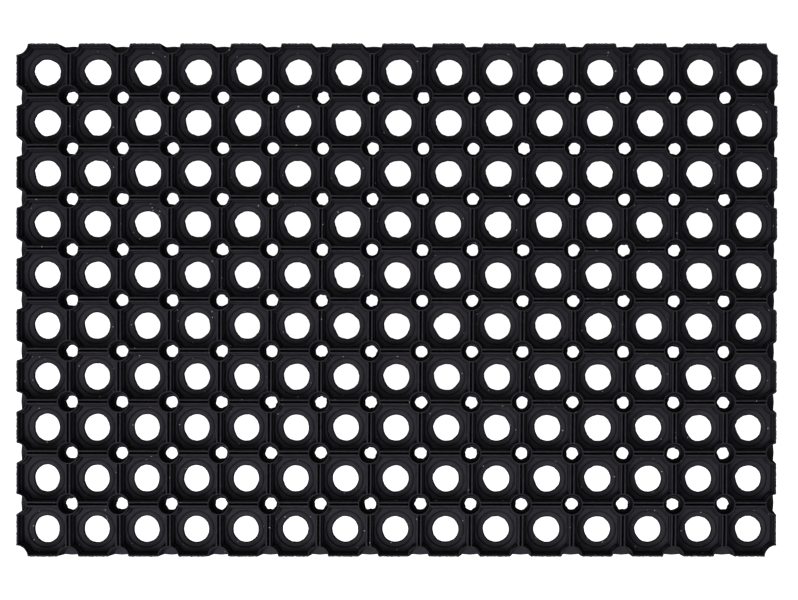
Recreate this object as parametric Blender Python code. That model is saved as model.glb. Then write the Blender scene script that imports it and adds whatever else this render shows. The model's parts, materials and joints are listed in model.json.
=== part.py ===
"""Door mat: a moulded rubber grid of open cells that bends along the slots between its cell columns.

The mat is one moulding. Each column of cells between two slots is a piece of its own here, and the web
under each slot is the hinge that joins it to the next column. Metres, +Z up, origin under the middle of
the mat, on the surface that it lies on. Columns are numbered from 1 at the -X end.
"""

import math

import bmesh
import bpy

# Grid of cells
COLUMNS = 15
ROWS = 10
CELL_PITCH_X = 0.03984
CELL_PITCH_Y = 0.04026
BORDER = 0.0012  # how far the outer lip stands outside the outermost grid line

# Heights
MAT_HEIGHT = 0.022
WEB_THICKNESS = 0.003

# Slots between the cells
SLOT_WIDTH = 0.0016
HINGE_GAP = 0.0003  # parting of two columns at the web, where the rubber really runs on

# Cells: an eight-sided bowl with a steep wall, a dished bottom and a drain hole
BOWL_SIDES = 8
LIP_WIDTH = 0.0014
WALL_SETBACK = 0.0013  # how far the steep wall leans in from the lip down to the dish
DISH_HEIGHT = 0.0055  # where the steep wall meets the dish
DRAIN_WIDTH = 0.0204
DRAIN_DEPTH = 0.0026

# Round hollow posts where the slots cross
POST_SIDES = 8
POST_BORE_TOP = 0.0154
POST_BORE_BOTTOM = 0.0092
POST_WALL = 0.0009

# Rounded-in corners of the mat
CORNER_RADIUS = 0.0088
CORNER_SIDES = 12

# A cutter runs this far past the face that it cuts
OVERRUN = 0.001

ROOT_COLUMN = (COLUMNS + 1) // 2

RUBBER_COLOUR = (0.021, 0.019, 0.026, 1.0)
RUBBER_ROUGHNESS = 0.62
SHARP_ANGLE = math.radians(50)  # edges of round holes that turn less than this are shaded smooth


def rubber():
    """Charcoal-black moulded rubber, faintly blue, with a dull sheen."""
    material = bpy.data.materials.new("black_rubber")
    material.use_nodes = True
    shader = material.node_tree.nodes["Principled BSDF"]
    shader.inputs["Base Color"].default_value = RUBBER_COLOUR
    shader.inputs["Roughness"].default_value = RUBBER_ROUGHNESS
    shader.inputs["Metallic"].default_value = 0.0
    return material


def row_line(index):
    """Y of a grid line between rows: 0 is the front edge's line and ROWS the back edge's."""
    return (index - ROWS / 2) * CELL_PITCH_Y


def add_box(mesh, low, high):
    """Adds a box between two opposite corners."""
    corners = bmesh.ops.create_cube(mesh, size=1.0)["verts"]
    for corner in corners:
        corner.co = [low[k] + (corner.co[k] + 0.5) * (high[k] - low[k]) for k in range(3)]


def add_turned(mesh, x, y, profile, sides):
    """Adds an upright many-sided solid of turned outline, with flats square to X and Y.

    The profile lists (radius to a corner, height) from the bottom up.
    """
    rings = []
    for radius, z in profile:
        ring = []
        for side in range(sides):
            angle = (side + 0.5) * 2 * math.pi / sides
            ring.append(mesh.verts.new((x + radius * math.cos(angle), y + radius * math.sin(angle), z)))
        rings.append(ring)
    for lower, upper in zip(rings, rings[1:]):
        for side in range(sides):
            after = (side + 1) % sides
            mesh.faces.new((lower[side], lower[after], upper[after], upper[side]))
    mesh.faces.new(reversed(rings[0]))
    mesh.faces.new(rings[-1])


def add_bore(mesh, x, y, radius_base, radius_top, sides, z_low=-OVERRUN):
    """Adds the cutter of a tapered hole whose radius is given at the mat's underside and at its top.

    The cutter runs from z_low to just past the top, so a z_low inside the mat leaves a floor there.
    """
    slope = (radius_top - radius_base) / MAT_HEIGHT
    z_high = MAT_HEIGHT + OVERRUN
    profile = [(radius_base + slope * z, z) for z in (z_low, z_high)]
    add_turned(mesh, x, y, profile, sides)


def mesh_object(name, mesh):
    """Turns a bmesh into an object of that name in the scene."""
    data = bpy.data.meshes.new(name)
    mesh.to_mesh(data)
    mesh.free()
    made = bpy.data.objects.new(name, data)
    bpy.context.collection.objects.link(made)
    return made


def column_blank(name, outer_left, outer_right):
    """The column before its holes are cut: its wall block standing on its web, as one extruded outline.

    A side that faces another column stops short at the slot, and its web at the hinge gap. A side on the
    mat's edge runs on to the outer lip.
    """
    edge = CELL_PITCH_X / 2 + BORDER
    wall = CELL_PITCH_X / 2 - SLOT_WIDTH / 2
    web = CELL_PITCH_X / 2 - HINGE_GAP / 2
    left_web, left_wall = (edge, edge) if outer_left else (web, wall)
    right_web, right_wall = (edge, edge) if outer_right else (web, wall)
    outline = [(-left_web, 0.0), (right_web, 0.0)]
    outline += [] if outer_right else [(right_web, WEB_THICKNESS), (right_wall, WEB_THICKNESS)]
    outline += [(right_wall, MAT_HEIGHT), (-left_wall, MAT_HEIGHT)]
    outline += [] if outer_left else [(-left_wall, WEB_THICKNESS), (-left_web, WEB_THICKNESS)]
    half_length = row_line(ROWS) + BORDER
    mesh = bmesh.new()
    face = mesh.faces.new([mesh.verts.new((x, -half_length, z)) for x, z in outline])
    end = bmesh.ops.extrude_face_region(mesh, geom=[face])["geom"]
    moved = [item for item in end if isinstance(item, bmesh.types.BMVert)]
    bmesh.ops.translate(mesh, verts=moved, vec=(0.0, 2 * half_length, 0.0))
    bmesh.ops.recalc_face_normals(mesh, faces=mesh.faces[:])
    return mesh_object(name, mesh)


def bowl_cutters(mesh):
    """One bowl for each cell of a column: a drain hole, the dish over it and the steep wall above."""
    to_corner = 1 / math.cos(math.pi / BOWL_SIDES)
    drain = DRAIN_WIDTH / 2
    mouth = min(CELL_PITCH_X, CELL_PITCH_Y) / 2 - SLOT_WIDTH / 2 - LIP_WIDTH
    dish = mouth - WALL_SETBACK
    past_mouth = mouth + WALL_SETBACK * OVERRUN / (MAT_HEIGHT - DISH_HEIGHT)
    profile = [
        (drain * to_corner, -OVERRUN),
        (drain * to_corner, DRAIN_DEPTH),
        (dish * to_corner, DISH_HEIGHT),
        (past_mouth * to_corner, MAT_HEIGHT + OVERRUN),
    ]
    for row in range(ROWS):
        middle = (row_line(row) + row_line(row + 1)) / 2
        add_turned(mesh, 0.0, middle, profile, BOWL_SIDES)


def slot_cutters(mesh, outer_left, outer_right):
    """The slots across a column, from post wall to post wall, or to the half post on the mat's edge."""
    post_radius = POST_BORE_TOP / 2 + POST_WALL
    reach = CELL_PITCH_X / 2 - post_radius
    edge_reach = reach + BORDER
    for line in range(1, ROWS):
        y = row_line(line)
        add_box(
            mesh,
            (-(edge_reach if outer_left else reach), y - SLOT_WIDTH / 2, WEB_THICKNESS),
            (edge_reach if outer_right else reach, y + SLOT_WIDTH / 2, MAT_HEIGHT + OVERRUN),
        )


def post_cutters(mesh, side):
    """The bores of the posts along one long side of a column. side is -1 or 1."""
    for line in range(1, ROWS):
        add_bore(
            mesh,
            side * CELL_PITCH_X / 2,
            row_line(line),
            POST_BORE_BOTTOM / 2,
            POST_BORE_TOP / 2,
            POST_SIDES,
        )


def edge_cutters(mesh, outer_left, outer_right):
    """Half posts' bores where grid lines run out at the mat's edge, and the mat's rounded-in corners.

    A half bore keeps the web as its floor, and a corner is cut right through.
    """
    for side, outer in ((-1, outer_left), (1, outer_right)):
        x = side * (CELL_PITCH_X / 2 + (BORDER if outer else 0.0))
        for end in (-1, 1):
            y = end * (row_line(ROWS) + BORDER)
            if outer:
                add_bore(mesh, x, y, CORNER_RADIUS, CORNER_RADIUS, CORNER_SIDES)
            else:
                add_bore(mesh, x, y, POST_BORE_BOTTOM / 2, POST_BORE_TOP / 2, POST_SIDES, WEB_THICKNESS)
        for line in range(1, ROWS) if outer else ():
            y = row_line(line)
            add_bore(mesh, x, y, POST_BORE_BOTTOM / 2, POST_BORE_TOP / 2, POST_SIDES, WEB_THICKNESS)


def cut(target, name, mesh):
    """Cuts a bmesh of separate closed shapes out of the target, and keeps it as a hidden helper."""
    helper = mesh_object(name, mesh)
    helper.data.shade_smooth()
    helper.data.set_sharp_from_angle(angle=SHARP_ANGLE)
    helper.hide_render = True
    helper.display_type = "WIRE"
    helper.parent = target
    modifier = target.modifiers.new(name, "BOOLEAN")
    modifier.operation = "DIFFERENCE"
    modifier.solver = "EXACT"
    modifier.object = helper


def cell_column(number, material):
    """One column of cells, modelled about its own middle line."""
    outer_left = number == 1
    outer_right = number == COLUMNS
    name = f"cell_column_{number:02d}"
    column = column_blank(name, outer_left, outer_right)
    holes = bmesh.new()
    bowl_cutters(holes)
    slot_cutters(holes, outer_left, outer_right)
    cut(column, f"{name}_bowls_and_slots", holes)
    rounds = bmesh.new()
    for side, outer in ((-1, outer_left), (1, outer_right)):
        if not outer:
            post_cutters(rounds, side)
    edge_cutters(rounds, outer_left, outer_right)
    cut(column, f"{name}_posts_and_notches", rounds)
    column.data.materials.append(material)
    return column


def hinge_line(parent, first, second):
    """An empty under the slot between two columns, on the line that they bend about."""
    hinge = bpy.data.objects.new(f"hinge_{first:02d}_{second:02d}", None)
    hinge.empty_display_type = "SINGLE_ARROW"
    hinge.empty_display_size = CELL_PITCH_X / 2
    bpy.context.collection.objects.link(hinge)
    hinge.parent = parent
    return hinge


def half_mat(root, material, direction):
    """Chains the columns from the middle one outwards, each on the hinge that joins it to the last."""
    parent = root
    reach = CELL_PITCH_X / 2
    last = 1 if direction < 0 else COLUMNS
    for number in range(ROOT_COLUMN + direction, last + direction, direction):
        before = number - direction
        hinge = hinge_line(parent, min(before, number), max(before, number))
        hinge.location.x = direction * reach
        column = cell_column(number, material)
        column.parent = hinge
        column.location.x = direction * CELL_PITCH_X / 2
        parent = hinge
        reach = CELL_PITCH_X


def main():
    """Clears the scene and builds the mat."""
    for leftover in list(bpy.data.objects):
        bpy.data.objects.remove(leftover, do_unlink=True)
    material = rubber()
    root = cell_column(ROOT_COLUMN, material)
    half_mat(root, material, -1)
    half_mat(root, material, 1)


main()
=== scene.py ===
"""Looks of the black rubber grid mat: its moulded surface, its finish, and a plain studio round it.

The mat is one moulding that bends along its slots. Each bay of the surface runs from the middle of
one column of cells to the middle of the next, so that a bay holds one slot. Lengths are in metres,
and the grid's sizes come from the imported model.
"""

import json
import logging
import math
from dataclasses import dataclass, field
from enum import Enum

import bmesh
import bpy
import numpy as np
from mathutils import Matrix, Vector


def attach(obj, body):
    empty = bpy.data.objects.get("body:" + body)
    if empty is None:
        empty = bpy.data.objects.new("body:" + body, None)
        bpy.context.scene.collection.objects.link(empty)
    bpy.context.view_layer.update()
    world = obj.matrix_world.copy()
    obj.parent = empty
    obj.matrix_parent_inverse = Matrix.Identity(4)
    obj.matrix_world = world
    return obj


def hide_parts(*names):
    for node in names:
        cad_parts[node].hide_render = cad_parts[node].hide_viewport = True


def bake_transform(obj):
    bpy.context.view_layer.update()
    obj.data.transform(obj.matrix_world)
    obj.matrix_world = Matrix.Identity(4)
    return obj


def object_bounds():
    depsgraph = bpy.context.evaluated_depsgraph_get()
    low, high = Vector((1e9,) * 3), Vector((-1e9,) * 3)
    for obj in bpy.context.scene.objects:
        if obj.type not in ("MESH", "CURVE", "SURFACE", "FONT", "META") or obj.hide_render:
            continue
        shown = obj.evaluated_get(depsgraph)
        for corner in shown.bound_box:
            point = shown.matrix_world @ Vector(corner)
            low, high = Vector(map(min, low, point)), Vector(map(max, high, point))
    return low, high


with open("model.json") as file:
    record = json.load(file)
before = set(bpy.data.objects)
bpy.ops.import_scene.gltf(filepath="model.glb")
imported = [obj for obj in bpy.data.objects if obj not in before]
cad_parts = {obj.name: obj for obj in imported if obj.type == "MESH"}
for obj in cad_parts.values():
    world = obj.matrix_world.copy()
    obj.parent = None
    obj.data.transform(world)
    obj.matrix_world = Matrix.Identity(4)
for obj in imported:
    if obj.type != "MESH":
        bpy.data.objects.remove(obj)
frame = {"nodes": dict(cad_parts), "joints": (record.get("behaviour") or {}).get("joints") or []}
cad_low, cad_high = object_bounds()

LOG = logging.getLogger("door_mat")
MM = 0.001
WELD = 1e-6
SHARP_ANGLE = math.radians(32)
CELLS_IN_COLUMN = 10
WHITE = (1.0, 1.0, 1.0)


class Beyond(Enum):
    """What lies past one side of a cell."""

    SLOT = "the slot to the next cell"
    EDGE = "the mat's outer edge"


class Corner(Enum):
    """What stands at one corner of a cell."""

    POST = "a hollow post, open right through"
    HALF_POST = "half a post, cut open by the mat's edge, with the web as its floor"
    ROUNDED = "the mat's own rounded-in corner"


class Half(Enum):
    """Which half of a cell a bay holds: the half towards +X or the half towards -X."""

    EAST = 1
    WEST = -1


@dataclass(frozen=True)
class Grid:
    """The mat's grid of cells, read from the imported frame.

    Columns are counted along +X and rows along +Y, both from 0.
    """

    columns: int
    rows: int
    pitch_x: float
    pitch_y: float
    border: float
    height: float

    @staticmethod
    def from_frame(rows: int) -> "Grid":
        """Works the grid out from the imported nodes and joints.

        Args:
            rows: Cells in one column.

        Returns:
            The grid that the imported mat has.
        """
        columns = len(frame["nodes"])
        hinges = sorted(joint["pos_m"][0] for joint in frame["joints"])
        pitch_x = (hinges[-1] - hinges[0]) / (len(hinges) - 1)
        border = ((cad_high.x - cad_low.x) - columns * pitch_x) / 2
        pitch_y = ((cad_high.y - cad_low.y) - 2 * border) / rows
        return Grid(columns, rows, pitch_x, pitch_y, border, cad_high.z - cad_low.z)

    def body(self, column: int) -> str:
        """Returns the name of the body that a column of cells belongs to."""
        return f"cell_column_{column + 1:02d}"

    def centre_x(self, column: int) -> float:
        """Returns X of the middle line of a column."""
        return (column - (self.columns - 1) / 2) * self.pitch_x

    def centre_y(self, row: int) -> float:
        """Returns Y of the middle line of a row."""
        return (row - (self.rows - 1) / 2) * self.pitch_y

    def side(self, column: int, row: int, east: int, north: int) -> Beyond:
        """Tells what lies past the side of a cell that faces a direction.

        Args:
            column: The cell's column.
            row: The cell's row.
            east: 1, -1 or 0, the direction along X.
            north: 1, -1 or 0, the direction along Y.

        Returns:
            Whether a slot or the mat's edge lies there.
        """
        inside = 0 <= column + east < self.columns and 0 <= row + north < self.rows
        return Beyond.SLOT if inside else Beyond.EDGE

    def corner(self, column: int, row: int, east: int, north: int) -> Corner:
        """Returns what stands at the corner of a cell towards east and north, each 1 or -1."""
        across = self.side(column, row, east, 0)
        along = self.side(column, row, 0, north)
        if across is along:
            return Corner.POST if across is Beyond.SLOT else Corner.ROUNDED
        return Corner.HALF_POST


@dataclass(frozen=True)
class Station:
    """One outline round a cell, from which the moulding's section is built up.

    The straight sides of the outline stand back from the grid line or the mat's edge, and its
    corners are hollow arcs round the posts.
    """

    slot_setback: float
    edge_setback: float
    post_radius: float
    half_post_radius: float
    rounded_radius: float
    z: float


@dataclass(frozen=True)
class Ring:
    """One round outline in the dished middle of a cell.

    follow is the share of the torn drain hole's shape that the outline copies.
    """

    radius: float
    z: float
    follow: float = 0.0


@dataclass(frozen=True)
class CellSection:
    """The moulding's section: over the lip and down the stepped bowl to the drain hole."""

    height: float
    web_low: float = 1.2 * MM
    web_high: float = 3.2 * MM
    lip_drop: float = 0.10 * MM
    ledge_z: float = 13.6 * MM
    floor_z: float = 5.7 * MM
    dish_radius: float = 15.15 * MM
    dish_z: float = 3.85 * MM
    drain_radius: float = 10.12 * MM
    drain_z: float = 3.5 * MM

    def stations(self) -> list[Station]:
        """Lists the straight-sided outlines, from the web's underside up, over the lip and down.

        Returns:
            The stations in order. Each wall has a small round at its top and its foot.
        """
        top = self.height - self.lip_drop
        rows = (
            (0.00, 0.75, 5.7, 0.0, 8.8, self.web_low),
            (0.00, 0.70, 5.7, 0.0, 8.8, self.web_high),
            (0.45, 0.65, 8.0, 8.0, 8.8, self.web_high + 0.03 * MM),
            (0.55, 0.60, 8.1, 8.1, 8.8, self.web_high + 0.50 * MM),
            (0.72, 0.10, 8.2, 8.2, 8.8, top - 0.75 * MM),
            (0.82, 0.00, 8.3, 8.3, 8.9, top - 0.30 * MM),
            (1.10, 0.28, 8.4, 8.4, 9.1, top - 0.03 * MM),
            (1.45, 0.80, 8.5, 8.5, 9.4, top),
            (1.80, 1.25, 8.6, 8.6, 9.6, top - 0.05 * MM),
            (2.12, 1.55, 8.7, 8.7, 9.8, top - 0.35 * MM),
            (2.22, 1.65, 8.8, 8.8, 9.9, top - 0.90 * MM),
            (2.50, 1.95, 9.1, 9.1, 10.1, self.ledge_z + 0.40 * MM),
            (2.65, 2.10, 9.25, 9.25, 10.3, self.ledge_z),
            (3.05, 2.50, 9.65, 9.65, 10.7, self.ledge_z - 0.05 * MM),
            (3.20, 2.65, 9.80, 9.80, 10.8, self.ledge_z - 0.45 * MM),
            (3.50, 3.00, 10.15, 10.15, 11.1, self.floor_z + 0.45 * MM),
            (3.80, 3.30, 10.45, 10.45, 11.4, self.floor_z),
        )
        return [Station(*(value * MM for value in row[:5]), row[5]) for row in rows]

    def rings(self) -> list[Ring]:
        """Lists the round outlines from the bowl's floor down the dish, through the hole and under.

        Returns:
            The rings in order. The last one lies on the web's underside.
        """
        dish, drain = self.dish_radius, self.drain_radius
        return [
            Ring(dish + 0.15 * MM, self.floor_z - 0.02 * MM),
            Ring(dish - 0.05 * MM, self.floor_z - 0.20 * MM),
            Ring(dish - 0.85 * MM, self.dish_z + 0.20 * MM),
            Ring(dish - 1.10 * MM, self.dish_z),
            Ring(drain + 2.30 * MM, self.dish_z - 0.55 * (self.dish_z - self.drain_z), 0.2),
            Ring(drain + 1.05 * MM, self.drain_z, 0.8),
            Ring(drain + 0.80 * MM, self.drain_z - 0.25 * MM, 0.9),
            Ring(drain + 0.15 * MM, self.web_low + 0.65 * MM, 1.0),
            Ring(drain, self.web_low + 0.30 * MM, 1.0),
            Ring(drain + 0.25 * MM, self.web_low, 0.9),
            Ring(drain + 2.60 * MM, self.web_low),
        ]


@dataclass(frozen=True)
class TornDrain:
    """How ragged the drain holes are: flash torn out of them left a flat beside a nick."""

    seed: int = 11
    oval: float = 0.20 * MM
    narrow: float = 0.45 * MM
    ripple: float = 0.30 * MM
    waves: tuple[int, int] = (3, 24)
    flat: float = 0.70 * MM
    bulge: float = 0.28 * MM
    nick: float = 0.45 * MM
    bites: int = 3
    bite: float = 0.16 * MM
    bite_width: float = 0.07
    share_range: tuple[float, float] = (0.75, 1.25)
    nick_angle: float = math.radians(169)
    nick_wander: float = 0.08
    torn_at_origin: float = -0.25
    torn_per_row: float = 0.17
    torn_per_column: float = 0.06
    torn_least: float = 0.15
    torn_most: float = 1.35
    torn_most_drop: float = 0.04
    narrow_columns: float = 6.0
    narrow_rows: float = 5.0
    narrow_start: float = 1.3

    def offset(self, column: int, row: int, angle: np.ndarray) -> np.ndarray:
        """Works out how far one hole's edge stands off its circle.

        The offset is a slow cosine that shifts the hole and one of twice its turn that narrows it,
        less a broad flat on the lower left, plus a bulge on the upper left and a pointed nick
        between them, plus a few narrow bites and a sum of sine waves that are smaller the shorter
        they are.

        Args:
            column: The cell's column.
            row: The cell's row.
            angle: Angles round the hole, in radians from +X.

        Returns:
            The offset at each angle, positive outwards.
        """
        rng = np.random.default_rng(self.seed + 100 * column + row)
        torn = self.torn_share(column, row)
        share = rng.uniform(*self.share_range) * torn
        nick_at = self.nick_angle + rng.normal(0, self.nick_wander)
        offset = self.oval * np.cos(angle)
        offset -= self.narrow * self.narrow_share(column, row) * np.cos(2 * angle)
        shapes = ((0.62, 0.42, -self.flat), (-0.40, 0.40, self.bulge), (0.0, 0.13, self.nick))
        for turn, width, height in shapes:
            offset += share * height * self.bump(angle, nick_at + turn, width)
        for _ in range(self.bites):
            depth = self.bite * rng.normal() * (0.4 + 0.6 * torn)
            offset += depth * self.bump(angle, rng.uniform(0, 2 * math.pi), self.bite_width)
        for wave in range(*self.waves):
            height = self.ripple * (0.5 + 0.5 * torn) * rng.normal() / wave
            offset += height * np.cos(wave * angle + rng.uniform(0, 7))
        return offset

    def bump(self, angle: np.ndarray, middle: float, width: float) -> np.ndarray:
        """Returns a bell curve of height 1 round a circle, centred on an angle."""
        away = np.angle(np.exp(1j * (angle - middle)))
        return np.exp(-((away / width) ** 2))

    def torn_share(self, column: int, row: int) -> float:
        """Works out how strongly a hole is torn: little at the front left, most at the back left.

        The share grows with the row and the column, between a least and a most that drops to the
        right.

        Args:
            column: The cell's column.
            row: The cell's row.

        Returns:
            The share of the full tear.
        """
        share = self.torn_per_row * row + self.torn_per_column * column + self.torn_at_origin
        most = self.torn_most - self.torn_most_drop * column
        return float(np.clip(share, self.torn_least, most))

    def narrow_share(self, column: int, row: int) -> float:
        """Returns how far a hole is narrowed: fully at the front left, not at the back right."""
        across = np.clip(1 - column / self.narrow_columns, 0, 1)
        return float(across * np.clip(self.narrow_start - row / self.narrow_rows, 0, 1))


@dataclass(frozen=True)
class Settling:
    """How the soft moulding lies: columns lean, rows bow and walls splay, by 2.5 mm at most."""

    lean: float = 3.4 * MM
    lean_turn: float = 0.86 * math.pi
    crowd: float = 0.8 * MM
    bow: float = 0.9 * MM
    spread_x: tuple[float, float] = (0.0035, -0.0015)
    spread_y: tuple[float, float] = (0.0060, -0.0050)
    edge_power: int = 16
    flash: float = 0.18 * MM
    flash_width: float = 2.5 * MM

    def laid(self, points: np.ndarray, low: Vector, high: Vector) -> np.ndarray:
        """Moves points to where the settled mat has them.

        Columns lean by a sine of the place along X times the place along Y, and crowd together by a
        sine times a cosine of the place along X. Rows bow by a sine along Y times a cosine along X.
        The moulding spreads in proportion to the distance from the middle, less at the top than at
        the bottom, and not at the mat's edge, where torn flash makes the upper rim ragged.

        Args:
            points: Points to move, one a row.
            low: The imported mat's lowest corner.
            high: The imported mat's highest corner.

        Returns:
            The moved points.
        """
        u = np.clip((points[:, 0] - low.x) / (high.x - low.x), 0, 1)
        v = np.clip((points[:, 1] - low.y) / (high.y - low.y), 0, 1)
        up = points[:, 2] / high.z
        moved = points.copy()
        moved[:, 0] += self.lean * np.sin(self.lean_turn * u) * (v - 0.5)
        moved[:, 0] -= self.crowd * np.sin(math.pi * u) * np.cos(2 * math.pi * (u - 0.5))
        moved[:, 1] += self.bow * 0.5 * np.sin(math.pi * v) * np.cos(math.pi * u)
        inside = 1 - np.maximum(np.abs(2 * u - 1), np.abs(2 * v - 1)) ** self.edge_power
        for axis, (bottom, change) in ((0, self.spread_x), (1, self.spread_y)):
            moved[:, axis] += points[:, axis] * (bottom + change * up) * inside
        for axis, along in ((0, 1), (1, 0)):
            gap = (high[axis] - low[axis]) / 2 - np.abs(points[:, axis])
            near = np.clip(1 - gap / self.flash_width, 0, 1) * np.clip(3 * up - 2, 0, 1)
            moved[:, axis] += np.sign(points[:, axis]) * near * self.ragged(points[:, along])
        return moved

    def ragged(self, along: np.ndarray) -> np.ndarray:
        """Returns how far the flash stands off along an edge, by waves that share no measure."""
        lengths = np.array([41.0, 17.3, 7.9, 4.7, 2.9]) * MM
        shares = np.array([0.20, 0.25, 0.40, 0.55, 0.65]) * self.flash
        phases = 2 * math.pi * along[:, None] / lengths + np.array([0.3, 1.9, 4.1, 2.6, 5.0])
        return np.sin(phases) @ shares


def welded(points: np.ndarray, faces: list[np.ndarray]) -> tuple[np.ndarray, list[list[int]]]:
    """Makes points that coincide one, and drops what collapses.

    A four-sided face that loses one corner goes on as a triangle.

    Args:
        points: Points, one a row.
        faces: Arrays of faces, each array with one number of corners.

    Returns:
        The points that are left and the faces on them.
    """
    keys = np.round(points / WELD).astype(np.int64)
    _, first, index = np.unique(keys, axis=0, return_index=True, return_inverse=True)
    index = index.reshape(-1)
    kept: list[list[int]] = []
    for group in faces:
        corners = index[group]
        doubled = corners == np.roll(corners, -1, axis=1)
        lost = doubled.sum(axis=1)
        kept += corners[lost == 0].tolist()
        if corners.shape[1] == 4:
            thin = lost == 1
            kept += corners[thin][~doubled[thin]].reshape(-1, 3).tolist()
        elif corners.shape[1] > 4:
            for face, repeats in zip(corners[lost > 0], doubled[lost > 0]):
                kept.append(face[~repeats].tolist())
    return points[first], kept


def shell(
    name: str, points: np.ndarray, faces: list[list[int]], finish: bpy.types.Material
) -> bpy.types.Object:
    """Makes a closed, smooth-shaded object with its faces outwards.

    Args:
        name: The object's name.
        points: Points, one a row.
        faces: Faces as lists of point numbers.
        finish: The material that it wears.

    Returns:
        The object, linked into the scene.
    """
    data = bpy.data.meshes.new(name)
    data.from_pydata(points.tolist(), [], faces)
    work = bmesh.new()
    work.from_mesh(data)
    bmesh.ops.recalc_face_normals(work, faces=work.faces[:])
    work.to_mesh(data)
    work.free()
    data.shade_smooth()
    data.set_sharp_from_angle(angle=SHARP_ANGLE)
    data.materials.append(finish)
    made = bpy.data.objects.new(name, data)
    bpy.context.scene.collection.objects.link(made)
    return made


@dataclass(frozen=True)
class CellSurface:
    """The surface of one cell, lofted from the slot over the lip and down to the drain hole."""

    grid: Grid
    section: CellSection
    torn: TornDrain
    side_steps: int = 5
    edge_steps: int = 14
    corner_steps: int = 10

    def steps(self, beyond: Beyond) -> int:
        """Returns how many steps half a side takes: more on the mat's edge, for its flash."""
        return self.edge_steps if beyond is Beyond.EDGE else self.side_steps

    def outline(self, station: Station, column: int, row: int, half: Half) -> np.ndarray:
        """Works out one straight-sided outline over half a cell.

        From the south side's middle the outline runs along the side, round the hollow corner arc,
        along the side to the east or west, round the other arc, and to the north side's middle. An
        arc of radius r round the grid crossing meets a side that stands back by d where r
        sin(angle) is d.

        Args:
            station: The outline's setbacks, radii and height.
            column: The cell's column.
            row: The cell's row.
            half: Which half of the cell.

        Returns:
            Points round the outline, one a row.
        """
        east = half.value
        setback = {Beyond.SLOT: station.slot_setback, Beyond.EDGE: station.edge_setback}
        radii = {
            Corner.POST: station.post_radius,
            Corner.HALF_POST: station.half_post_radius,
            Corner.ROUNDED: station.rounded_radius,
        }
        facing = self.grid.side(column, row, east, 0)
        half_x = self.grid.pitch_x / 2 + (self.grid.border if facing is Beyond.EDGE else 0.0)
        side_x = half_x - setback[facing]
        quarters = []
        for north in (-1, 1):
            beyond = self.grid.side(column, row, 0, north)
            half_y = self.grid.pitch_y / 2 + (self.grid.border if beyond is Beyond.EDGE else 0.0)
            side_y = half_y - setback[beyond]
            radius = radii[self.grid.corner(column, row, east, north)]
            start = math.asin(min((half_y - side_y) / radius, 1.0)) if radius else 0.0
            end = math.asin(min((half_x - side_x) / radius, 1.0)) if radius else 0.0
            turn = np.linspace(start, math.pi / 2 - end, self.corner_steps + 1)
            arc_x = half_x - radius * np.cos(turn)
            arc_y = half_y - radius * np.sin(turn)
            middle_x = np.linspace(0.0, arc_x[0], self.steps(beyond), endpoint=False)
            end_y = np.linspace(arc_y[-1], 0.0, self.steps(facing) + 1)[1:]
            x = np.concatenate([middle_x, arc_x, np.full(end_y.shape, side_x)])
            y = np.concatenate([np.full(middle_x.shape, side_y), arc_y, end_y])
            quarters.append(np.stack([x * east, y * north, np.full(x.shape, station.z)], axis=1))
        return np.concatenate([quarters[0], quarters[1][::-1][1:]])

    def half_cell(self, column: int, row: int, half: Half) -> tuple[np.ndarray, list[np.ndarray]]:
        """Lofts half a cell through all its outlines, with its section closed at the cut.

        The round outlines take their angles from the last straight-sided one, so the loft doesn't
        twist.

        Args:
            column: The cell's column.
            row: The cell's row.
            half: Which half of the cell.

        Returns:
            Its points, and its faces as arrays of point numbers.
        """
        loops = [self.outline(s, column, row, half) for s in self.section.stations()]
        angle = np.arctan2(loops[-1][:, 1], loops[-1][:, 0])
        tear = self.torn.offset(column, row, angle)
        for ring in self.section.rings():
            radius = ring.radius + ring.follow * tear
            height = np.full(angle.shape, ring.z)
            loops.append(np.stack([radius * np.cos(angle), radius * np.sin(angle), height], axis=1))
        points = np.concatenate(loops)
        points[:, 0] += self.grid.centre_x(column)
        points[:, 1] += self.grid.centre_y(row)
        count, around = len(loops), len(loops[0])
        numbers = np.arange(count * around).reshape(count, around)
        below = np.concatenate([numbers, numbers[:1]])
        quads = np.stack([below[:-1, :-1], below[:-1, 1:], below[1:, 1:], below[1:, :-1]], axis=-1)
        shared = self.shared_with_neighbour(column, row, half)
        wall = quads[0][~shared]
        caps = [numbers[:, 0][None, :], numbers[::-1, -1][None, :]]
        return points, [quads[1:].reshape(-1, 4), wall, *caps]

    def shared_with_neighbour(self, column: int, row: int, half: Half) -> np.ndarray:
        """Marks the steps round the web's rim where the next cell goes on, so no wall stands there.

        Args:
            column: The cell's column.
            row: The cell's row.
            half: Which half of the cell.

        Returns:
            One flag for each step round the half outline.
        """
        south = self.grid.side(column, row, 0, -1)
        north = self.grid.side(column, row, 0, 1)
        across = self.grid.side(column, row, half.value, 0)
        corner = np.full(self.corner_steps, False)
        runs = [
            np.full(self.steps(south), south is Beyond.SLOT),
            corner,
            np.full(2 * self.steps(across), across is Beyond.SLOT),
            corner,
            np.full(self.steps(north), north is Beyond.SLOT),
        ]
        return np.concatenate(runs)


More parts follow.
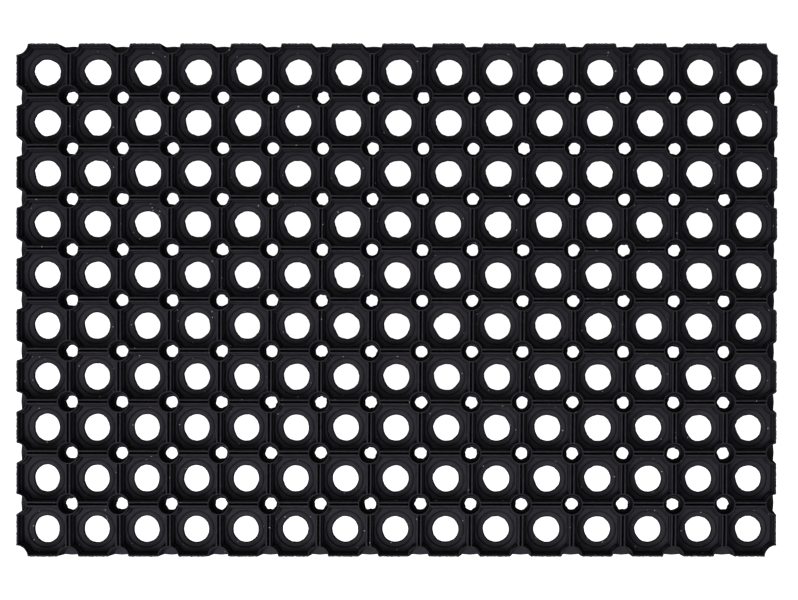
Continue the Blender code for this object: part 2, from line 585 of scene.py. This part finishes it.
@dataclass(frozen=True)
class PostTube:
    """A hollow post: a tube with a tapered bore, a thin rim, a torn floor and a low collar."""

    grid: Grid
    section: CellSection
    bore_top: float = 7.7 * MM
    bore_low: float = 6.3 * MM
    mouth: float = 4.50 * MM
    mouth_z: float = 0.7 * MM
    floor_z: float = 2.4 * MM
    outer: float = 8.65 * MM
    collar: float = 7.3 * MM
    torn: float = 0.16 * MM
    wave_fade: float = 0.3
    seed: int = 5
    steps: int = 40

    def profile(self, whole: bool) -> np.ndarray:
        """Lists the tube's closed section as (radius, height).

        A whole post goes down to the floor as a collar. A half post ends inside the web.

        Args:
            whole: Whether the post stands clear of the mat's edge.

        Returns:
            The section's points, one a row.
        """
        top = self.section.height
        web = self.section.web_high
        rim = [
            (self.outer, top - 0.45 * MM),
            (self.outer - 0.18 * MM, top - 0.08 * MM),
            (self.outer - 0.45 * MM, top),
            (self.bore_top + 0.28 * MM, top - 0.06 * MM),
            (self.bore_top, top - 0.50 * MM),
        ]
        if whole:
            foot = [
                (self.bore_low, self.floor_z),
                (self.mouth + 0.5 * MM, self.mouth_z + 0.7 * MM),
                (self.mouth, self.mouth_z),
                (self.mouth + 0.30 * MM, 0.3 * MM),
                (self.mouth + 0.60 * MM, 0.0),
                (self.collar - 0.35 * MM, 0.0),
                (self.collar, 0.35 * MM),
                (self.collar, web - 0.8 * MM),
                (self.outer, web - 0.5 * MM),
            ]
        else:
            low = web - 0.7 * MM
            foot = [(self.bore_low, low), (self.outer, low)]
        return np.array(foot + rim)

    def tube(
        self, centre: tuple[float, float], start: float, sweep: float
    ) -> tuple[np.ndarray, list[np.ndarray]]:
        """Turns the section round an upright axis, all the way or part of it.

        Args:
            centre: X and Y of the axis.
            start: Angle where the turning starts, in radians from +X.
            sweep: How far it turns, in radians. A full turn closes on itself, and less is capped.

        Returns:
            The tube's points, and its faces as arrays of point numbers.
        """
        whole = sweep > 2 * math.pi - 1e-6
        section = self.profile(whole)
        angles = start + np.linspace(0, sweep, self.steps + 1)
        rng = np.random.default_rng([self.seed, *(round(1000 * (value + 1)) for value in centre)])
        waves = np.arange(1, 9)
        sizes = self.torn * rng.normal(size=waves.size) / waves**self.wave_fade
        tear = np.cos(np.outer(angles, waves) + rng.uniform(0, 7, waves.size)) @ sizes
        torn = (section[:, 0] < self.mouth + 0.1 * MM) & whole
        radius = section[:, 0] + np.outer(tear, torn)
        x = centre[0] + np.cos(angles)[:, None] * radius
        y = centre[1] + np.sin(angles)[:, None] * radius
        z = np.broadcast_to(section[:, 1], x.shape)
        points = np.stack([x, y, z], axis=-1).reshape(-1, 3)
        numbers = np.arange(len(points)).reshape(len(angles), len(section))
        beside = np.roll(numbers, -1, axis=1)
        quads = np.stack([numbers[:-1], beside[:-1], beside[1:], numbers[1:]], axis=-1)
        caps = [] if whole else [numbers[0][None, ::-1], numbers[-1][None, :]]
        return points, [quads.reshape(-1, 4), *caps]


@dataclass(frozen=True)
class RubberFinish:
    """Charcoal-black moulded rubber: grain, a painted highlight on the tops of the lips, faint
    bloom, specks of dust.
    """

    colour: tuple[float, float, float] = (0.0215, 0.0198, 0.0272)
    # Painted highlight: a lighter grey for the tops of the lips, where light catches them.
    painted_lip_highlight: tuple[float, float, float] = (0.043, 0.041, 0.047)
    bloom: tuple[float, float, float] = (0.030, 0.028, 0.036)
    dust: tuple[float, float, float] = (0.60, 0.58, 0.55)
    roughness: tuple[float, float] = (0.50, 0.68)
    grain_scale: float = 1500.0
    grain_depth: float = 0.00012
    grain_strength: float = 0.6
    speck_scale: float = 190.0
    speck_size: float = 0.11
    speck_choice: tuple[float, float] = (0.25, 1.0)
    cloud_scale: float = 38.0
    cloud_range: tuple[float, float] = (0.42, 0.72)
    # Noise that mottles the painted highlight on the lips.
    highlight_mottle_scale: float = 260.0
    highlight_mottle_range: tuple[float, float] = (0.35, 0.70)
    gloss_scale: float = 120.0
    # Depths below the top over which the painted lip highlight fades in.
    lip_highlight_depth: tuple[float, float] = (0.0009, 0.0001)
    specular: float = 0.36

    def material(self, height: float) -> bpy.types.Material:
        """Builds the node material.

        Args:
            height: The mat's height, to which the painted highlight on the tops of the lips is
                tied.

        Returns:
            The material.
        """
        made = bpy.data.materials.new("moulded_black_rubber")
        made.use_nodes = True
        tree = made.node_tree
        tree.nodes.clear()
        links = tree.links

        def node(kind: str, **values: object) -> bpy.types.Node:
            """Adds a node and sets its properties."""
            added = tree.nodes.new(kind)
            for key, value in values.items():
                setattr(added, key, value)
            return added

        def noise(scale: float, detail: float, rough: float) -> bpy.types.NodeSocket:
            """Adds a noise on object coordinates and returns its factor."""
            added = node("ShaderNodeTexNoise")
            added.inputs["Scale"].default_value = scale
            added.inputs["Detail"].default_value = detail
            added.inputs["Roughness"].default_value = rough
            links.new(place.outputs["Object"], added.inputs["Vector"])
            return added.outputs["Fac"]

        def spread(value: bpy.types.NodeSocket, low: float, high: float) -> bpy.types.NodeSocket:
            """Stretches a value from low..high to 0..1, clamped."""
            added = node("ShaderNodeMapRange")
            added.inputs["From Min"].default_value = low
            added.inputs["From Max"].default_value = high
            links.new(value, added.inputs["Value"])
            return added.outputs["Result"]

        def times(
            first: bpy.types.NodeSocket, second: bpy.types.NodeSocket
        ) -> bpy.types.NodeSocket:
            """Multiplies two values."""
            added = node("ShaderNodeMath", operation="MULTIPLY")
            links.new(first, added.inputs[0])
            links.new(second, added.inputs[1])
            return added.outputs["Value"]

        def tint(
            base: bpy.types.NodeSocket,
            other: tuple[float, float, float],
            share: bpy.types.NodeSocket,
        ) -> bpy.types.NodeSocket:
            """Mixes a fixed colour over another by a share."""
            added = node("ShaderNodeMix", data_type="RGBA")
            links.new(share, added.inputs["Factor"])
            links.new(base, added.inputs[6])
            added.inputs[7].default_value = (*other, 1.0)
            return added.outputs[2]

        place = node("ShaderNodeTexCoord")
        apart = node("ShaderNodeSeparateXYZ")
        links.new(place.outputs["Object"], apart.inputs["Vector"])
        # Mask for the painted lip highlight: 1 on the tops of the lips, 0 further down.
        high = spread(apart.outputs["Z"], *(height - depth for depth in self.lip_highlight_depth))
        shader = node("ShaderNodeBsdfPrincipled")
        output = node("ShaderNodeOutputMaterial")
        links.new(shader.outputs["BSDF"], output.inputs["Surface"])

        speck_size = node("ShaderNodeValue")
        speck_size.outputs["Value"].default_value = self.speck_size
        clouds = spread(noise(self.cloud_scale, 4.0, 0.55), *self.cloud_range)
        base = node("ShaderNodeMix", data_type="RGBA")
        base.inputs[6].default_value = (*self.colour, 1.0)
        base.inputs[7].default_value = (*self.bloom, 1.0)
        links.new(clouds, base.inputs["Factor"])
        highlight_mottle = spread(noise(self.highlight_mottle_scale, 3.0, 0.6), *self.highlight_mottle_range)
        # Painted highlight: the top millimetre of the lips is mixed to a lighter grey, mottled by
        # noise.
        painted_lip_highlight = tint(base.outputs[2], self.painted_lip_highlight, times(high, highlight_mottle))
        dots = node("ShaderNodeTexVoronoi")
        dots.inputs["Scale"].default_value = self.speck_scale
        links.new(place.outputs["Object"], dots.inputs["Vector"])
        chosen = node("ShaderNodeSeparateColor")
        links.new(dots.outputs["Color"], chosen.inputs["Color"])
        small = node("ShaderNodeMath", operation="LESS_THAN")
        links.new(dots.outputs["Distance"], small.inputs[0])
        picked = spread(chosen.outputs["Red"], *self.speck_choice)
        reach = times(picked, speck_size.outputs["Value"])
        links.new(reach, small.inputs[1])
        dusty = tint(painted_lip_highlight, self.dust, small.outputs["Value"])
        links.new(dusty, shader.inputs["Base Color"])

        gloss = node("ShaderNodeMapRange")
        gloss.inputs["To Min"].default_value = self.roughness[0]
        gloss.inputs["To Max"].default_value = self.roughness[1]
        links.new(noise(self.gloss_scale, 3.0, 0.6), gloss.inputs["Value"])
        links.new(gloss.outputs["Result"], shader.inputs["Roughness"])
        shader.inputs["Specular IOR Level"].default_value = self.specular

        bump = node("ShaderNodeBump")
        bump.inputs["Distance"].default_value = self.grain_depth
        bump.inputs["Strength"].default_value = self.grain_strength
        links.new(noise(self.grain_scale, 3.0, 0.6), bump.inputs["Height"])
        links.new(bump.outputs["Normal"], shader.inputs["Normal"])
        return made


@dataclass
class Moulding:
    """The whole mat: bays of cells round its slots, and the posts in the slots."""

    grid: Grid
    finish: bpy.types.Material
    settling: Settling = field(default_factory=Settling)
    torn: TornDrain = field(default_factory=TornDrain)
    bend_reach: float = 12.0 * MM
    half_post_margin: float = 0.05

    def __post_init__(self) -> None:
        """Works out the shared section, cell surface and post."""
        self.section = CellSection(self.grid.height)
        self.cells = CellSurface(self.grid, self.section, self.torn)
        self.posts = PostTube(self.grid, self.section)

    def gathered(
        self, name: str, parts: list[tuple[np.ndarray, list[np.ndarray]]]
    ) -> bpy.types.Object:
        """Joins parts into one welded object, laid as the settled mat lies.

        Args:
            name: The object's name.
            parts: Points and faces of each part.

        Returns:
            The object.
        """
        faces: list[np.ndarray] = []
        offset = 0
        for points, groups in parts:
            faces += [group + offset for group in groups]
            offset += len(points)
        points, kept = welded(np.concatenate([part[0] for part in parts]), faces)
        return shell(name, self.settling.laid(points, cad_low, cad_high), kept, self.finish)

    def half_column(self, column: int, half: Half) -> list[tuple[np.ndarray, list[np.ndarray]]]:
        """Returns the half cells of a column, front to back."""
        return [self.cells.half_cell(column, row, half) for row in range(self.grid.rows)]

    def bay(self, slot: int) -> bpy.types.Object:
        """Builds the surface round one slot, between the columns on either side.

        Args:
            slot: The slot's number, which is that of the column on its west side.

        Returns:
            The bay.
        """
        parts = self.half_column(slot, Half.EAST) + self.half_column(slot + 1, Half.WEST)
        made = self.gathered(f"cells_by_slot_{slot + 1:02d}", parts)
        self.bend(made, slot)
        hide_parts(self.grid.body(slot))
        return made

    def end(self, column: int, half: Half) -> bpy.types.Object:
        """Builds the outer half of the first or last column, which rides on it.

        Args:
            column: The column.
            half: Which half of it.

        Returns:
            The end strip.
        """
        side = "west" if half is Half.WEST else "east"
        made = self.gathered(f"outer_cells_{side}", self.half_column(column, half))
        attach(made, self.grid.body(column))
        return made

    def slot_x(self, slot: int) -> float:
        """Returns X of a slot's middle line."""
        return self.grid.centre_x(slot) + self.grid.pitch_x / 2

    def bend(self, piece: bpy.types.Object, slot: int) -> None:
        """Bakes a piece's placement into its mesh. The slot's line and the bodies on either side
        are worked out but not used, so the piece doesn't bend.

        Args:
            piece: The piece that bends.
            slot: The slot's number.
        """
        x = self.slot_x(slot)
        west, east = self.grid.body(slot), self.grid.body(slot + 1)
        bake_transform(piece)

    def post_row(self, slot: int) -> bpy.types.Object:
        """Builds the hollow posts in one slot, with a half post at each end of it.

        Args:
            slot: The slot's number.

        Returns:
            The row of posts.
        """
        grid, x = self.grid, self.slot_x(slot)
        lines = [grid.centre_y(row) + grid.pitch_y / 2 for row in range(grid.rows - 1)]
        parts = [self.posts.tube((x, y), 0.0, 2 * math.pi) for y in lines]
        margin = self.half_post_margin
        parts.append(self.posts.tube((x, cad_low.y), margin, math.pi - 2 * margin))
        parts.append(self.posts.tube((x, cad_high.y), math.pi + margin, math.pi - 2 * margin))
        made = self.gathered(f"posts_in_slot_{slot + 1:02d}", parts)
        self.bend(made, slot)
        return made

    def side_posts(self, half: Half) -> bpy.types.Object:
        """Builds the half posts along the mat's west or east edge.

        Args:
            half: WEST or EAST.

        Returns:
            The row of half posts.
        """
        grid, margin = self.grid, self.half_post_margin
        west = half is Half.WEST
        x = cad_low.x if west else cad_high.x
        start = -math.pi / 2 if west else math.pi / 2
        lines = [grid.centre_y(row) + grid.pitch_y / 2 for row in range(grid.rows - 1)]
        parts = [self.posts.tube((x, y), start + margin, math.pi - 2 * margin) for y in lines]
        made = self.gathered(f"edge_posts_{'west' if west else 'east'}", parts)
        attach(made, grid.body(0 if west else grid.columns - 1))
        return made

    def build(self) -> None:
        """Builds every piece of the moulding and reports it."""
        last = self.grid.columns - 1
        made = [self.end(0, Half.WEST), self.end(last, Half.EAST)]
        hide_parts(self.grid.body(last))
        for slot in range(last):
            made += [self.bay(slot), self.post_row(slot)]
        made += [self.side_posts(Half.WEST), self.side_posts(Half.EAST)]
        for piece in made:
            LOG.info("%s: %d faces", piece.name, len(piece.data.polygons))


@dataclass(frozen=True)
class SoftLight:
    """A square light aimed at the mat. size is the length of its side."""

    name: str
    place: tuple[float, float, float]
    size: float
    watts: float
    tint: tuple[float, float, float]

    def hang(self) -> None:
        """Adds the light to the scene, out of the camera's sight."""
        data = bpy.data.lights.new(self.name, "AREA")
        data.energy = self.watts
        data.color = self.tint
        data.size = self.size
        made = bpy.data.objects.new(self.name, data)
        made.visible_camera = False
        made.location = self.place
        made.rotation_euler = (-Vector(self.place)).to_track_quat("-Z", "Y").to_euler()
        bpy.context.scene.collection.objects.link(made)


KEY = SoftLight("key_front_left", (-0.45, -1.08, 2.32), 1.0, 29.0, (0.94, 0.91, 1.0))
OVERHEAD = SoftLight("overhead", (0.0, 0.4, 2.9), 2.4, 10.5, WHITE)


@dataclass(frozen=True)
class Studio:
    """A white floor, two soft lights, a band of light round the horizon, and a camera above.

    The mat lies clear of the floor, as on a glass table, so that it throws no shadow on the floor
    and its ends have room to hang when it bends.
    """

    camera_height: float = 1.80
    camera_offset: tuple[float, float] = (0.090, -0.050)
    aim: tuple[float, float] = (0.0019, 0.0000)
    frame_width: float = 0.6293
    sensor: float = 36.0
    clip_end: float = 20.0
    floor_drop: float = 0.26
    floor_reach: float = 30.0
    floor_grey: float = 0.9
    floor_roughness: float = 0.9
    band_height: float = 0.45
    band_strength: tuple[float, float] = (0.12, 1.1)
    band_side: tuple[float, float, float] = (-0.6, -0.8, 0.0)

    def camera(self, top: float) -> None:
        """Places the camera, which looks straight down from beside the middle.

        Its lens shift brings the mat back into the frame.

        Args:
            top: Height of the mat's top.
        """
        data = bpy.data.cameras.new("camera")
        data.sensor_width = self.sensor
        data.lens = self.sensor * self.camera_height / self.frame_width
        data.shift_x = (self.aim[0] - self.camera_offset[0]) / self.frame_width
        data.shift_y = (self.aim[1] - self.camera_offset[1]) / self.frame_width
        data.clip_end = self.clip_end
        made = bpy.data.objects.new("camera", data)
        made.location = (*self.camera_offset, top + self.camera_height)
        bpy.context.scene.collection.objects.link(made)
        bpy.context.scene.camera = made

    def floor(self) -> None:
        """Lays a wide floor that shows white in the mat's holes.

        It is hidden from the light that bounces, and clear when seen from below.
        """
        size = self.floor_reach
        corners = [(-size, -size, 0), (size, -size, 0), (size, size, 0), (-size, size, 0)]
        data = bpy.data.meshes.new("floor")
        data.from_pydata(corners, [], [(0, 1, 2, 3)])
        white = bpy.data.materials.new("white_floor")
        white.use_nodes = True
        tree = white.node_tree
        shader = tree.nodes["Principled BSDF"]
        shader.inputs["Base Color"].default_value = (*[self.floor_grey] * 3, 1.0)
        shader.inputs["Roughness"].default_value = self.floor_roughness
        shader.inputs["Emission Color"].default_value = (*WHITE, 1.0)
        shader.inputs["Emission Strength"].default_value = 1.0
        side = tree.nodes.new("ShaderNodeNewGeometry")
        clear = tree.nodes.new("ShaderNodeBsdfTransparent")
        mixed = tree.nodes.new("ShaderNodeMixShader")
        tree.links.new(side.outputs["Backfacing"], mixed.inputs["Fac"])
        tree.links.new(shader.outputs["BSDF"], mixed.inputs[1])
        tree.links.new(clear.outputs["BSDF"], mixed.inputs[2])
        tree.links.new(mixed.outputs["Shader"], tree.nodes["Material Output"].inputs["Surface"])
        data.materials.append(white)
        made = bpy.data.objects.new("floor", data)
        made.location.z = -self.floor_drop
        made.visible_diffuse = False
        made.visible_glossy = False
        bpy.context.scene.collection.objects.link(made)

    def horizon(self) -> None:
        """Puts a band of light round the horizon, which the camera sees as plain white.

        The band fades out above and below the horizon, and is brighter on the front left side: its
        strength follows the dot product of the direction with that side.
        """
        world = bpy.data.worlds.new("studio")
        world.use_nodes = True
        tree = world.node_tree
        direction = tree.nodes.new("ShaderNodeTexCoord")
        apart = tree.nodes.new("ShaderNodeSeparateXYZ")
        level = tree.nodes.new("ShaderNodeMath")
        level.operation = "ABSOLUTE"
        fade = tree.nodes.new("ShaderNodeMapRange")
        fade.inputs["From Max"].default_value = self.band_height
        fade.inputs["To Min"].default_value = 1.0
        fade.inputs["To Max"].default_value = 0.0
        facing = tree.nodes.new("ShaderNodeVectorMath")
        facing.operation = "DOT_PRODUCT"
        facing.inputs[1].default_value = self.band_side
        strength = tree.nodes.new("ShaderNodeMapRange")
        strength.inputs["From Min"].default_value = -1.0
        strength.inputs["To Min"].default_value = self.band_strength[0]
        strength.inputs["To Max"].default_value = self.band_strength[1]
        band = tree.nodes.new("ShaderNodeMath")
        band.operation = "MULTIPLY"
        ray = tree.nodes.new("ShaderNodeLightPath")
        shown = tree.nodes.new("ShaderNodeMath")
        shown.operation = "MAXIMUM"
        tree.links.new(direction.outputs["Generated"], apart.inputs["Vector"])
        tree.links.new(apart.outputs["Z"], level.inputs[0])
        tree.links.new(level.outputs["Value"], fade.inputs["Value"])
        tree.links.new(direction.outputs["Generated"], facing.inputs[0])
        tree.links.new(facing.outputs["Value"], strength.inputs["Value"])
        tree.links.new(fade.outputs["Result"], band.inputs[0])
        tree.links.new(strength.outputs["Result"], band.inputs[1])
        tree.links.new(band.outputs["Value"], shown.inputs[0])
        tree.links.new(ray.outputs["Is Camera Ray"], shown.inputs[1])
        tree.links.new(shown.outputs["Value"], tree.nodes["Background"].inputs["Strength"])
        tree.nodes["Background"].inputs["Color"].default_value = (*WHITE, 1.0)
        bpy.context.scene.world = world

    def build(self, top: float) -> None:
        """Sets the whole studio up round a mat with the given top height."""
        bpy.context.scene.view_settings.view_transform = "Standard"
        self.horizon()
        self.floor()
        KEY.hang()
        OVERHEAD.hang()
        self.camera(top)


def main() -> None:
    """Builds the studio and the mat."""
    logging.basicConfig(level=logging.INFO, format="%(name)s: %(message)s")
    grid = Grid.from_frame(rows=CELLS_IN_COLUMN)
    pitches = (grid.pitch_x / MM, grid.pitch_y / MM)
    LOG.info("grid of %d x %d cells, %.1f x %.1f mm apart", grid.columns, grid.rows, *pitches)
    Studio().build(grid.height)
    Moulding(grid, RubberFinish().material(grid.height)).build()


if __name__ == "__main__":
    main()
